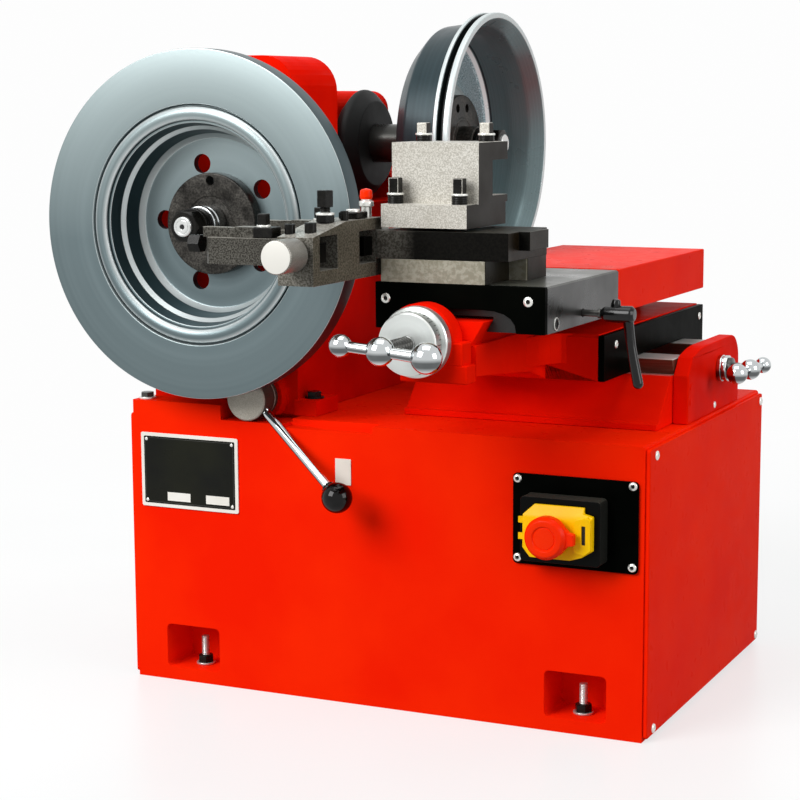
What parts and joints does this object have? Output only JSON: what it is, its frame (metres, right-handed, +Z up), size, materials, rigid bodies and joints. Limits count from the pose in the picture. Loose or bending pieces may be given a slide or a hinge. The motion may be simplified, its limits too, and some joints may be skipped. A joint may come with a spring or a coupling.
{
  "type": "bench brake lathe",
  "caption": "Bench lathe that turns a vehicle brake disc and brake drum on crossed spindles, with saddle, cross slide, disc cutters and drum tool holder.",
  "frame": {"origin": "middle of the cabinet's underside, on its cross rib", "axes": "+Z up, +X to the operator's right along the saddle's ways, +Y to the back along the cross slide"},
  "size_m": [0.6426, 0.6428, 0.6595],
  "materials": {
    "red_paint": "gloss",
    "black_paint": "satin",
    "disc_steel": "satin",
    "drum_iron": "satin",
    "tool_steel": "ground",
    "dark_steel": "black oxide",
    "chrome": "polished",
    "motor_grey": "rough",
    "bronze": "machined",
    "rubber": "matt",
    "black_plastic": "gloss",
    "yellow_plastic": "gloss",
    "red_plastic": "gloss",
    "green_plastic": "gloss"
  },
  "bodies": {
    "frame": {"base_cabinet": "red_paint", "side_cover_right": "red_paint", "side_cover_left": "red_paint", "foot_bolt_front_left": "chrome", "foot_bolt_front_right": "chrome", "foot_bolt_rear_left": "chrome", "foot_bolt_rear_right": "chrome", "switch_plate": "black_paint", "switch_housing": "yellow_plastic", "motor_body": "motor_grey", "drive_belt": "rubber", "feed_belt": "rubber", "headstock_casting": "red_paint", "disc_front_bearing": "tool_steel", "disc_rear_bearing": "tool_steel", "drum_right_bearing": "tool_steel", "drum_left_bearing": "tool_steel", "feed_gearbox": "motor_grey", "bed_casting": "red_paint", "bed_end_bracket": "red_paint"},
    "disc": {"disc_spindle": "tool_steel", "disc_back_flange": "dark_steel", "brake_disc": "disc_steel", "disc_clamp_flange": "dark_steel", "disc_spacer": "chrome", "disc_nut": "dark_steel", "disc_worm_wheel": "bronze"},
    "drum": {"drum_spindle": "tool_steel", "drum_silencer_ring": "rubber", "brake_drum": "drum_iron", "drum_clamp_flange": "dark_steel", "drum_nut": "dark_steel", "drum_worm_wheel": "bronze"},
    "worm": {"worm_shaft": "tool_steel"},
    "motor_rotor": {"motor_rotor": "tool_steel"},
    "feed_pulley": {"feed_input_pulley": "tool_steel"},
    "feed_lever": {"feed_lever": "tool_steel", "feed_lever_knob": "black_plastic"},
    "lead_screw": {"lead_screw": "tool_steel", "saddle_crank": "chrome"},
    "saddle": {"saddle": "red_paint", "saddle_end_plate": "black_paint", "cross_screw_bracket": "red_paint"},
    "cross_screw": {"cross_screw": "tool_steel", "cross_dial": "chrome", "cross_handle": "chrome"},
    "table": {"cross_table": "black_paint", "table_cover": "red_paint", "table_end_plate": "black_paint", "tool_base_block": "tool_steel", "cutter_yoke": "dark_steel"},
    "clamp_lever": {"clamp_lever": "black_plastic"},
    "tool_post": {"drum_tool_post": "tool_steel"},
    "front_cutter": {"front_cutter_arm": "dark_steel"},
    "front_adjuster": {"front_adjuster": "tool_steel"},
    "rear_cutter": {"rear_cutter_arm": "dark_steel"},
    "rear_adjuster": {"rear_adjuster": "tool_steel"},
    "switch_lid": {"switch_lid": "yellow_plastic"},
    "stop_button": {"stop_button": "red_plastic"},
    "start_button": {"start_button": "green_plastic"}
  },
  "joints": [
    {"name": "disc_spin", "type": "hinge", "parent": "frame", "child": "disc", "pos_m": [-0.172, 0, 0.456], "axis": [0, 1, 0], "continuous": true},
    {"name": "drum_spin", "type": "hinge", "parent": "frame", "child": "drum", "pos_m": [0, 0.071, 0.527], "axis": [1, 0, 0], "continuous": true},
    {"name": "worm_spin", "type": "hinge", "parent": "frame", "child": "worm", "pos_m": [-0.2335, 0.1325, 0], "axis": [0, 0, 1], "continuous": true},
    {"name": "motor_spin", "type": "hinge", "parent": "frame", "child": "motor_rotor", "pos_m": [0.06, 0.1077, 0], "axis": [0, 0, 1], "continuous": true},
    {"name": "feed_pulley_spin", "type": "hinge", "parent": "frame", "child": "feed_pulley", "pos_m": [-0.1415, 0.042, 0], "axis": [0, 0, 1], "continuous": true},
    {"name": "feed_lever_turn", "type": "hinge", "parent": "frame", "child": "feed_lever", "pos_m": [-0.137, -0.188, 0.288], "axis": [0, -1, 0], "range_deg": [0, 40]},
    {"name": "saddle_slide", "type": "slide", "parent": "frame", "child": "saddle", "axis": [1, 0, 0], "range_m": [-0.03, 0.038]},
    {"name": "lead_screw_turn", "type": "hinge", "parent": "frame", "child": "lead_screw", "pos_m": [0, 0.042, 0.3116], "axis": [1, 0, 0], "range_deg": [-3421, 2701]},
    {"name": "table_slide", "type": "slide", "parent": "saddle", "child": "table", "axis": [0, 1, 0], "range_m": [-0.01, 0.05]},
    {"name": "cross_screw_turn", "type": "hinge", "parent": "saddle", "child": "cross_screw", "pos_m": [0.108, 0, 0.371], "axis": [0, 1, 0], "range_deg": [-4501, 901]},
    {"name": "clamp_lever_turn", "type": "hinge", "parent": "table", "child": "clamp_lever", "pos_m": [0.209, -0.197, 0.387], "axis": [1, 0, 0], "range_deg": [-60, 60]},
    {"name": "tool_post_swivel", "type": "hinge", "parent": "table", "child": "tool_post", "pos_m": [0.098, -0.2465, 0.464], "axis": [0, 0, 1], "range_deg": [-5, 45]},
    {"name": "front_cutter_slide", "type": "slide", "parent": "table", "child": "front_cutter", "axis": [0, 1, 0], "range_m": [0, 0.006]},
    {"name": "front_adjuster_turn", "type": "hinge", "parent": "table", "child": "front_adjuster", "pos_m": [0.036, -0.405, 0.448], "axis": [0, 1, 0], "range_deg": [-1081, 1]},
    {"name": "rear_cutter_slide", "type": "slide", "parent": "table", "child": "rear_cutter", "axis": [0, -1, 0], "range_m": [0, 0.006]},
    {"name": "rear_adjuster_turn", "type": "hinge", "parent": "table", "child": "rear_adjuster", "pos_m": [0.036, -0.276, 0.448], "axis": [0, -1, 0], "range_deg": [-1081, 1]},
    {"name": "lid_hinge", "type": "hinge", "parent": "frame", "child": "switch_lid", "pos_m": [0.15625, -0.21265, 0.192], "axis": [0, 0, -1], "range_deg": [0, 105]},
    {"name": "stop_press", "type": "slide", "parent": "switch_lid", "child": "stop_button", "axis": [0, 1, 0], "range_m": [0, 0.003], "stiffness_N_per_m": 400},
    {"name": "start_press", "type": "slide", "parent": "frame", "child": "start_button", "axis": [0, 1, 0], "range_m": [0, 0.0025], "stiffness_N_per_m": 300}
  ],
  "couplings": [
    {"joint": "drum_spin", "follows": "disc_spin", "ratio": 1},
    {"joint": "worm_spin", "follows": "disc_spin", "ratio": -24},
    {"joint": "motor_spin", "follows": "disc_spin", "ratio": -30},
    {"joint": "feed_pulley_spin", "follows": "disc_spin", "ratio": -24},
    {"joint": "lead_screw_turn", "follows": "saddle_slide", "rad_per_m": -1570.8},
    {"joint": "cross_screw_turn", "follows": "table_slide", "rad_per_m": -1570.8},
    {"joint": "front_adjuster_turn", "follows": "front_cutter_slide", "rad_per_m": -3141.6},
    {"joint": "rear_adjuster_turn", "follows": "rear_cutter_slide", "rad_per_m": -3141.6}
  ]
}
